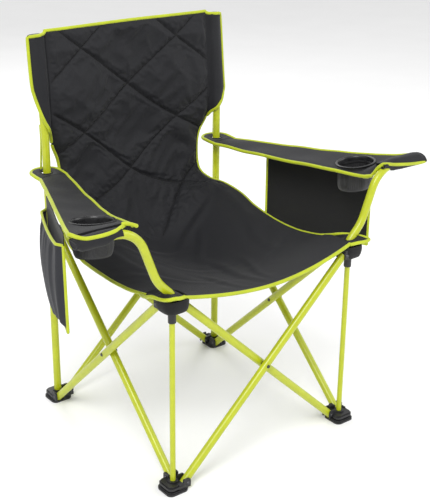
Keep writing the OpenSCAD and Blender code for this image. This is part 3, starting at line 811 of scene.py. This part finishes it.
def sleeve_front_y(x, z):
    """Front layer of the sleeve: from the panel's edge, over the front of the post."""
    t = smooth(235, 250, x)
    return panel_edge_y(z) * (1 - t) + (post_y(z) - sleeve_bulge(x)) * t


def sleeve_edge_y(x, z):
    """The sleeve's outer edge: beside the post, then over its front where the outline narrows."""
    t = smooth(281, 268, x)
    return post_y(z) * (1 - t) + sleeve_front_y(x, z) * t


def make_back_sleeves():
    for side, name in SIDE.items():
        z = np.concatenate([np.linspace(948, 748, 34), np.linspace(745, 684, 24)])
        u = np.linspace(0, 1, 21)[None, :]
        wide = outline_x(z, side)[:, None]
        start = 234.5 - 6 * smooth(735, 686, z)[:, None]
        x = start + (wide - start) * u
        creased = 1.4 * ripple(x, z[:, None], 50, 5 + side) * smooth(0, 0.2, u) * (1 - u)
        y = sleeve_front_y(x, z[:, None]) + creased
        rim = sleeve_edge_y(wide, z[:, None])
        y = y + (rim - sleeve_front_y(wide, z[:, None])) * u ** 5
        front = places(x, y, z[:, None])
        body, post = BODY[side]["post"], [f"rear_post_{name}_tube"]
        layer(f"back_sleeve_{name}_front", front, side, body,
              f"back_sleeve_{name}")
        keep = outline_x(z, side) > 276
        y = post_y(z)[:, None] + sleeve_bulge(x) - 0.5 * ripple(x, z[:, None], 60, 9 + side) * (1 - u)
        y = y + (rim - post_y(z)[:, None] - sleeve_bulge(wide)) * u ** 5
        rear = places(x, y, z[:, None])[keep]
        layer(f"back_sleeve_{name}_rear", rear, side, body)
        cap = np.array([front[0] + (rear[0] - front[0]) * t for t in np.linspace(0.06, 0.94, 5)])
        cap[..., 2] += 0.4
        carry(thick(f"back_sleeve_{name}_cap", mirrored(cap, side), 1.8, "plain_fabric"), body)
        corner = ((235, 953), (243, 949.5), (258, 949), (271, 948))
        edge = [(x0, sleeve_front_y(x0, z0), z0) for x0, z0 in corner]
        edge += [(279, sleeve_edge_y(279, 946), 944), (282.5, post_y(934) - 1, 932)]
        edge += [(x0 + 1.5, sleeve_edge_y(x0, z0) - 1, z0) for z0, x0 in OUTLINE[side][1:]]
        binding(f"binding_sleeve_{name}", mirrored(spline(edge, 8), side), body)
        strap = spline([(262, HALF + 17, 733), (262, HALF + 16, 698), (263, HALF + 18, 658),
                        (264, HALF + 20, 624)], 8)
        carry(tube(f"loop_strap_{name}", mirrored(strap, side), 4.2, "piping", 12, flat=0.6), body,
              squash={"axis": (0, 0, 1), "anchor": (0, 0, 0.733), "keep": 0.1})


# ---------------- seat corners

# Outer edge of the reinforced front corner, from the seat's side round the tip to its front edge
CORNER = {
    -1: [(270, -158, 451), (279, -180, 457), (286, -204, 467), (288, -228, 476), (289, -250, 480),
         (289, -272, 485), (284, -285, 489), (272, -289, 490), (258, -288, 487), (244, -284, 485)],
    1: [(257, -158, 468), (261, -190, 478), (269, -220, 488), (281, -246, 492), (296, -268, 490),
        (301, -284, 487), (284, -289, 487), (264, -287, 488), (244, -281, 486)],
}
# The guard under each corner: its centre, half width, and its share of that at each height
GUARD_X, GUARD_R = 256.0, 30.5
GUARD = ((479, 0.97), (472, 1.0), (463, 0.99), (456, 0.95), (450, 0.88), (446.5, 0.7), (445, 0.48))


def make_seat_corners():
    for side, name in SIDE.items():
        body = BODY[side]["arm"]
        rim = spline(CORNER[side], 8)
        inner = spline([CORNER[side][-1], (240, -240, 481), (243, -200, 474), CORNER[side][0]], 10)[1:-1]
        loop = np.concatenate([rim, inner])
        centre = np.array([266.0, -258.0, 489.0])
        angles = np.arctan2(loop[:, 1] - centre[1], loop[:, 0] - centre[0])
        slot_rim = centre + places(14.5 * np.cos(angles), 11.5 * np.sin(angles), 3.0 * np.cos(angles))
        rings = []
        for t in np.linspace(0, 1, 9):
            ring = slot_rim + (loop - slot_rim) * t
            ring[:, 2] = slot_rim[:, 2] + (loop[:, 2] - slot_rim[:, 2]) * (1 - (1 - t) ** 2)
            rings.append(ring)
        patch = thick(f"seat_corner_{name}_patch", mirrored(np.array(rings), side), 4.0, "plain_fabric", True)
        obj = carry(patch, body, f"seat_corner_{name}")
        binding(f"binding_corner_{name}", mirrored(rim, side), body, 4.1)
        # A near-black ring round the slot where the post goes in, darker than the patch: painted shadow in
        # the slot's opening
        hem = mirrored(slot_rim + np.array([0, 0, 1.0]), side)
        carry(tube(f"slot_shadow_ring_{name}", hem, 1.7, "pocket_lining", 10, closed=True), body)
        rows = []
        turn = around(48)
        # A circle drawn out towards a square with rounded corners
        radius = GUARD_R / (np.abs(np.cos(turn)) ** 3.5 + np.abs(np.sin(turn)) ** 3.5) ** (1 / 3.5)
        for height, scale in GUARD:
            reach = radius * scale
            rows.append(places(GUARD_X + reach * np.cos(turn), -GUARD_X + reach * np.sin(turn), height))
        layer(f"corner_guard_{name}", np.array(rows), side, body,
              slot="pocket_lining", wrap=True)


# ---------------- armrests


def arm_edges(y):
    t = (y - ARM_FRONT_Y) / (ARM_REAR_Y - ARM_FRONT_Y)
    return ARM_INNER[0] + (ARM_INNER[1] - ARM_INNER[0]) * t, ARM_OUTER[0] + (ARM_OUTER[1] - ARM_OUTER[0]) * t


# Heights along the armrests' inner and outer edges: place along Y, then height
ARM_LINES = {
    -1: {"inner": [(-243, 655), (-215, 650), (-181, 642), (-145, 634), (-90, 624), (-33, 619), (86, 614),
                   (227, 616)],
         "outer": [(-243, 661), (-190, 655), (-151, 649), (-49, 640), (40, 634), (125, 627), (227, 616)]},
    1: {"inner": [(-243, 627), (-218, 620), (-150, 619), (-94, 618), (48, 614), (120, 614), (227, 616)],
        "outer": [(-243, 655), (-200, 644), (-150, 636), (-38, 626), (80, 621), (144, 618), (227, 616)]},
}


def arm_line(side, edge, y):
    points = ARM_LINES[side][edge]
    return np.interp(y, [p[0] for p in points], [p[1] for p in points])


def arm_height(side, u, y):
    """Height of the armrest's cloth, u from its inner to its outer edge."""
    front = smooth(-190, -243, y)
    rise = u + front * (smooth(0, 0.25, u) - u)
    return arm_line(side, "inner", y) * (1 - rise) + arm_line(side, "outer", y) * rise


def arm_grid(y0, y1, rows, cols, side):
    """Middle surface of an armrest between two places along it, and how far from its edges."""
    y = np.linspace(y0, y1, rows)[:, None]
    u = np.linspace(0, 1, cols)[None, :]
    inner, outer = arm_edges(y)
    x = inner + (outer - inner) * u
    sag = -4.0 * np.sin(np.pi * u) * smooth(230, 120, y) * smooth(-235, -150, y)
    z = arm_height(side, u, y) + sag + 0.8 * ripple(x, y, 110, 21 + side)
    rim = np.minimum(u, 1 - u) * (outer - inner)
    return places(x, y, z), rim * np.ones_like(x)


def padded_slab(name, grid, rim, side, swell, wrap=False):
    """A thin pad about a grid: flat below, crowned above, thin at its bound edges."""
    half = 1.8 + swell * (1 - np.exp(-(rim / 16.0) ** 1.5))
    up = np.array([0, 0, 1.0])
    top, under = grid + up * half[..., None], grid - up * (half * 0.75)[..., None]
    if side < 0:
        top, under = mirrored(top, -1), mirrored(under, -1)
        return shell(name, under, top, "padded_fabric", wrap)
    return shell(name, top, under, "padded_fabric", wrap)


def cut_hole(obj, centre, radius):
    """Cuts the cup holder's round opening through an armrest."""
    bpy.ops.mesh.primitive_cylinder_add(vertices=96, radius=radius * MM, depth=0.12,
                                        location=[c * MM for c in centre])
    cutter = bpy.context.object
    boolean = obj.modifiers.new("cup_hole", "BOOLEAN")
    boolean.object, boolean.operation, boolean.solver = cutter, "DIFFERENCE", "EXACT"
    bpy.context.view_layer.objects.active = obj
    bpy.ops.object.modifier_apply(modifier=boolean.name)
    bpy.data.objects.remove(cutter)
    for polygon in obj.data.polygons:
        polygon.use_smooth = True


PAD_SWELL = 2.6
# The armrest's two parts: name, body, where each starts and ends, and its rows of points
ARM_PARTS = (("front", "flap", ARM_FRONT_Y, ARM_SPLIT_Y, 56),
             ("rear", "rear_flap", ARM_SPLIT_Y, ARM_REAR_Y, 34))


def make_armrests():
    for side, name in SIDE.items():
        for part, key, y0, y1, rows in ARM_PARTS:
            # The rear part reaches 1 mm into the loop
            reach = y1 if part == "front" else y1 + 1
            grid, rim = arm_grid(y0, reach, rows, 33, side)
            obj = padded_slab(f"armrest_{name}_{part}_pad", grid, rim, side, PAD_SWELL)
            if part == "front":
                cut_hole(obj, (side * CUP[0], CUP[1], 636.0), CUP_HOLE_R)
            carry(obj, BODY[side][key], f"armrest_{part}_{name}")
        for part, key, y0, y1, _ in ARM_PARTS:
            grid, _ = arm_grid(y0, y1, 30, 33, side)
            for edge, column in (("inner", 0), ("outer", -1)):
                line = mirrored(grid[:, column], side)
                binding(f"binding_arm_{part}_{edge}_{name}", line, BODY[side][key], 4.2)
        make_arm_loop(side)
        make_arm_sleeve(side)


LOOP_R, LOOP_HOLE_R = 37.0, 13.5


def make_arm_loop(side):
    """The armrest's rear end, round the rear post."""
    name, body = SIDE[side], BODY[side]["loop"]
    centre = np.array([HALF + 1, HALF + 1])
    angles = around(72)
    outer = []
    for a in angles:
        d = np.array([math.cos(a), math.sin(a)])
        reach = LOOP_R
        if d[1] < 0:
            reach = min(abs((centre[1] - ARM_REAR_Y) / d[1]), math.hypot(36, 36))
            reach = min(reach, LOOP_R / max(abs(d[0]), 1e-6))
        outer.append(centre + d * reach)
    outer = np.array(outer)
    hole = centre + np.stack([np.cos(angles), np.sin(angles)], axis=-1) * LOOP_HOLE_R
    rows = np.array([hole + (outer - hole) * t for t in np.linspace(0, 1, 9)])
    level = ARM_REAR_Z + 0 * rows[..., :1] + 2.5 * smooth(0, 1, (rows[..., 1:] - 225) / 70)
    grid = np.concatenate([rows, level], axis=-1)
    distance = np.linspace(0, 1, 9)[:, None] * np.ones((1, len(angles)))
    rim = np.minimum(distance, 1 - distance) * 46
    obj = padded_slab(f"arm_loop_{name}_pad", grid, rim, side, 2.0, wrap=True)
    carry(obj, body, f"arm_loop_{name}")
    half_turn = np.linspace(0, math.pi, 24)
    arc = places(centre[0] + LOOP_R * np.cos(half_turn), centre[1] + LOOP_R * np.sin(half_turn),
                 ARM_REAR_Z + 2.5).tolist()
    ends = [(296, ARM_REAR_Y, ARM_REAR_Z), (297, 242, ARM_REAR_Z + 1)]
    other = [(223, 242, ARM_REAR_Z + 1), (224, ARM_REAR_Y, ARM_REAR_Z)]
    binding(f"binding_loop_{name}", mirrored(ends + arc + other, side), body, 4.2)
    hem = places(centre[0] + 14 * np.cos(angles), centre[1] + 14 * np.sin(angles), ARM_REAR_Z + 2.5)
    carry(tube(f"loop_hem_{name}", mirrored(hem, side), 2.0, "pocket_lining", 10, closed=True), body)


# The front seam of each armrest's sleeve and the rim at its inner end
ARM_SEAM = {
    -1: [(368, -250, 664), (382, -258, 664), (398, -265, 663), (422, -268, 662), (446, -268, 662),
         (470, -267, 664), (484, -259, 668), (492, -246, 671), (490, -237, 664)],
    1: [(354, -262, 659), (364, -268, 659), (385, -271, 655), (426, -277, 650), (462, -277, 646),
        (484, -275, 645), (494, -272, 646)],
}
ARM_RIM = {
    -1: [(349, -200, 645), (356, -226, 655), (362, -240, 661), (368, -250, 664)],
    1: [(338, -217, 619), (342, -230, 622), (346, -240, 630), (350, -251, 648), (354, -262, 659)],
}


def make_arm_sleeve(side):
    """The armrest's front end, wrapped round the arm post and sewn together in front of it."""
    name, body = SIDE[side], BODY[side]["arm"]
    first = 384.0 if side < 0 else 352.0
    x = np.linspace(first, 489, 36)
    seam = spline(ARM_SEAM[side], 6)
    # The seam's last two stretches turn back, so they don't count as places along the arm post
    outward = seam[:-12]
    seam_y = np.interp(x, outward[:, 0], outward[:, 1])
    seam_z = np.interp(x, outward[:, 0], outward[:, 2])
    turn = around(44)
    pad_z, rear_reach, roof = 657, 17.0, 12.8
    rings = []
    for xi, ys, zs in zip(x, seam_y, seam_z):
        inside = max(0.0, ARM_LEVEL_X - xi)
        # Height of the post's axis, and of the cloth under it
        axis = ARM_LEVEL_Z - ARM_BEND_R + math.sqrt(ARM_BEND_R ** 2 - inside ** 2)
        under = 641 + (axis - ARM_LEVEL_Z) * 0.9
        under += (max(axis, ARM_LEVEL_Z - 4) + 6 - under) * (1 - smooth(first + 4, first + 42, xi))
        reach, nose = (12.5, axis) if side < 0 else (-HALF - ys, zs)
        end = 1 - 0.5 * smooth(474, 489, xi)
        ring = []
        for a in turn:
            c, t = math.cos(a), math.sin(a)
            y = -HALF + (max(reach, 12.0) if c < 0 else rear_reach) * np.sign(c) * abs(c) ** 0.85
            crown = axis + (0 if side < 0 else 4)
            middle = nose * (c < 0) * abs(c) + crown * (1 - abs(c)) + pad_z * (c > 0) * c
            high, low = max(axis, ARM_LEVEL_Z - 4) + roof - middle, middle - (under - 4)
            z = middle + (high * abs(t) ** 1.1 if t > 0 else -low * abs(t) ** 1.1) * end
            ring.append((xi, y, z))
        rings.append(ring)
    grid = np.array(rings)
    grid[..., 2] += 0.6 * ripple(grid[..., 0], grid[..., 1] * 2, 45, 33 + side)
    layer(f"arm_sleeve_{name}_wrap", grid, side, body,
          f"arm_sleeve_{name}", wrap=True)
    binding(f"binding_arm_seam_{name}", mirrored(seam, side), body, 4.2)
    binding(f"binding_arm_rim_{name}", mirrored(spline(ARM_RIM[side], 6), side), body, 4.0)
    if side < 0:
        tab = spline([(374, -251, 668), (368, -254, 668), (358, -258, 666), (345, -261, 660)], 6)
        binding(f"binding_arm_tab_{name}", mirrored(tab, side), body, 4.0)
    tip = grid[-1]
    carry(tube(f"arm_sleeve_{name}_end", mirrored(tip, side), 2.6, "plain_fabric", 10, closed=True), body)
    middle = tip.mean(axis=0)
    plug = np.array([middle + (tip - middle) * t for t in (0.05, 0.5, 0.97)])
    carry(thick(f"arm_sleeve_{name}_close", mirrored(plug, side), 1.6, "plain_fabric", wrap=True), body)


# ---------------- cup holders


# Radius and height of each cup holder's rim and of its mesh bag, from the armrest's middle surface
CUP_RIM = [(43.4, -12), (43.4, 0), (44.0, 3.4), (45.2, 4.9), (47.0, 5.5), (49.0, 5.0), (50.0, 3.8),
           (49.6, 2.6), (46.4, 1.2), (46.2, -12)]
CUP_BAG = [(43.0, -9), (43.6, -16), (43.4, -28), (42.8, -44), (42.0, -58), (40.6, -68), (37.0, -74.5),
           (26.0, -78), (12.0, -79), (0.8, -79)]


def make_cups():
    """Rims set in the armrests' cloth, with the mesh cups that hang from them."""
    for side, lean, depth in ((-1, 9.0, 1.0), (1, 4.5, 0.83)):
        name = SIDE[side]
        tilt = math.radians(lean)
        inner, outer = arm_line(side, "inner", CUP[1]), arm_line(side, "outer", CUP[1])
        centre = np.array([CUP[0], CUP[1], 0.5 * (inner + outer)])
        roll = math.atan2(outer - inner, 129.0) * 0.7
        across = np.array([math.cos(roll), 0, math.sin(roll)])
        along = np.array([0, math.cos(tilt), -math.sin(tilt)])
        up = np.cross(across, along)
        angles = around(96)

        def lathe(profile):
            return np.array([[centre + r * (math.cos(a) * across + math.sin(a) * along) + h * up
                              for a in angles] for r, h in profile])

        grid = mirrored(lathe(CUP_RIM), side)
        rows, cols = grid.shape[:2]
        faces = [(j * cols + i, j * cols + (i + 1) % cols, ((j + 1) % rows) * cols + (i + 1) % cols,
                  ((j + 1) % rows) * cols + i) for j in range(rows) for i in range(cols)]
        if side < 0:
            faces = [f[::-1] for f in faces]
        obj = add_mesh(f"cup_ring_{name}_rim", grid.reshape(-1, 3), faces, "cup_rim_plastic")
        carry(obj, BODY[side]["flap"], f"cup_ring_{name}")
        line = spline([(r, h, 0) for r, h in CUP_BAG], 4)[:, :2]
        bag = []
        for radius, h in line:
            wave = (1.4 * np.sin(4 * angles + 0.6 * side) + 1.0 * np.sin(7 * angles + 1.7)
                    + 0.6 * np.sin(13 * angles))
            r = radius + wave * math.sin(math.pi * min(1, -h / 76)) * (radius > 30)
            out = np.cos(angles)[:, None] * across + np.sin(angles)[:, None] * along
            bag.append(centre + r[:, None] * out + h * np.array([0, 0, depth]))
        grid = mirrored(np.array(bag), side)
        obj = thick(f"cup_mesh_{name}_bag", grid, 1.2, "mesh_fabric", wrap=True)
        carry(obj, BODY[side]["flap"], f"cup_mesh_{name}")
        for label, index, radius in (("top", 3, 1.8), ("bottom", 24, 1.5)):
            hem = tube(f"cup_hem_{label}_{name}", grid[index], radius, "pocket_lining", 8, closed=True)
            carry(hem, BODY[side]["flap"])


# ---------------- side pockets


def along_edge(s, out, z):
    """A point by its distance along the armrest's outer edge from the front, outwards from it, and height."""
    dx, dy = ARM_OUTER[1] - ARM_OUTER[0], ARM_REAR_Y - ARM_FRONT_Y
    length = math.hypot(dx, dy)
    ux, uy = dx / length, dy / length
    return places(ARM_OUTER[0] + ux * s + uy * out, ARM_FRONT_Y + uy * s - ux * out, z)


POCKET_SQUASH = {"axis": (0, 1, 0), "anchor": (0, -0.259, 0), "keep": 0.14}


def pocket_piece(name, grid, side, slot, node_name=None):
    return carry(thick(name, mirrored(grid, side), 1.8, slot), BODY[side]["arm"], node_name, POCKET_SQUASH)


def bind_pocket(edges, side):
    for label, path in edges.items():
        name = f"binding_pocket_{SIDE[side]}_{label}"
        binding(name, mirrored(path, side), BODY[side]["arm"], 3.2, squash=POCKET_SQUASH)


def make_left_pocket():
    """Gathered grey pocket that hangs below the left armrest's outer edge."""
    rows, cols = 44, 70
    t = np.linspace(0, 1, rows)[:, None]
    u = np.linspace(0, 1, cols)[None, :]
    top_s, low_s = 84 + 290 * u, 66 + 232 * u
    top_z, low_z = 612 - 22 * u - 5 * np.sin(np.pi * u), 425 - 37 * u + 4 * np.sin(3 * np.pi * u)
    s = top_s + (low_s - top_s) * t ** 1.1
    z = top_z + (low_z - top_z) * t
    side_in = np.sin(np.pi * np.clip(u, 0, 1)) ** 0.5
    bulge = 10 + 17 * np.sin(np.pi * np.clip(t * 0.85 + 0.12, 0, 1)) * side_in
    folds = 3.2 * np.sin(2 * np.pi * (u * 5.2 + 0.12 * np.sin(3 * t))) * (1 - 0.55 * t) * smooth(0, 0.1, t)
    folds = folds + 1.6 * np.sin(2 * np.pi * (u * 9.3 + 0.3 * t)) * (1 - t) * smooth(0, 0.08, t)
    close = smooth(0, 0.08, u) * smooth(0, 0.08, 1 - u) * smooth(0, 0.1, 1 - t)
    out = 4 + (bulge + folds) * close
    outer = along_edge(s, out, z)
    obj = pocket_piece("side_pocket_left_outer", outer, -1, "pocket_fabric", "side_pocket_left")
    z_in = (640 - 20 * u) * (1 - t) + (low_z + 2) * t
    inner = along_edge(84 + 290 * u + (low_s - 84 - 290 * u) * t, 2.5 + 1.2 * np.sin(6 * u + 4 * t), z_in)
    obj = pocket_piece("side_pocket_left_inner", inner, -1, "pocket_lining")
    edges = {"top": outer[0], "bottom": outer[-1], "front": outer[:, 0], "rear": outer[:, -1]}
    bind_pocket(edges, -1)


def make_right_pocket():
    """Deep flat pocket of black cloth on the right, bound down both its sides."""
    rows, cols = 36, 56
    t = np.linspace(0, 1, rows)[:, None]
    u = np.linspace(0, 1, cols)[None, :]
    s = 110 + 296 * u + 0 * t
    z = (629 - 14 * u) * (1 - t) + 391 * t
    wave = 1.6 * ripple(s, z, 120, 51) * smooth(0, 0.15, u) * smooth(0, 0.15, 1 - u)
    inner = along_edge(s, 4 + wave, z)
    obj = pocket_piece("side_pocket_right_inner", inner, 1, "pocket_lining", "side_pocket_right")
    z_out = (594 - 10 * u) * (1 - t) + 391 * t
    close = smooth(0, 0.1, u) * smooth(0, 0.1, 1 - u) * smooth(0, 0.12, 1 - t)
    out = 6 + (14 + 6 * np.sin(np.pi * t) + 2.5 * np.sin(2 * np.pi * (u * 4.1 + 0.2 * t)) * (1 - t)) * close
    outer = along_edge(s, out, z_out)
    obj = pocket_piece("side_pocket_right_outer", outer, 1, "pocket_fabric")
    edges = {"top": outer[0], "front": inner[:, 0], "rear": inner[:, -1], "bottom": inner[-1]}
    bind_pocket(edges, 1)


# ---------------- the object

make_camera()
make_stage()
dress_frame()
make_posts()
make_sling()
make_sling_bindings()
make_back_sleeves()
make_seat_corners()
make_armrests()
make_cups()
make_left_pocket()
make_right_pocket()
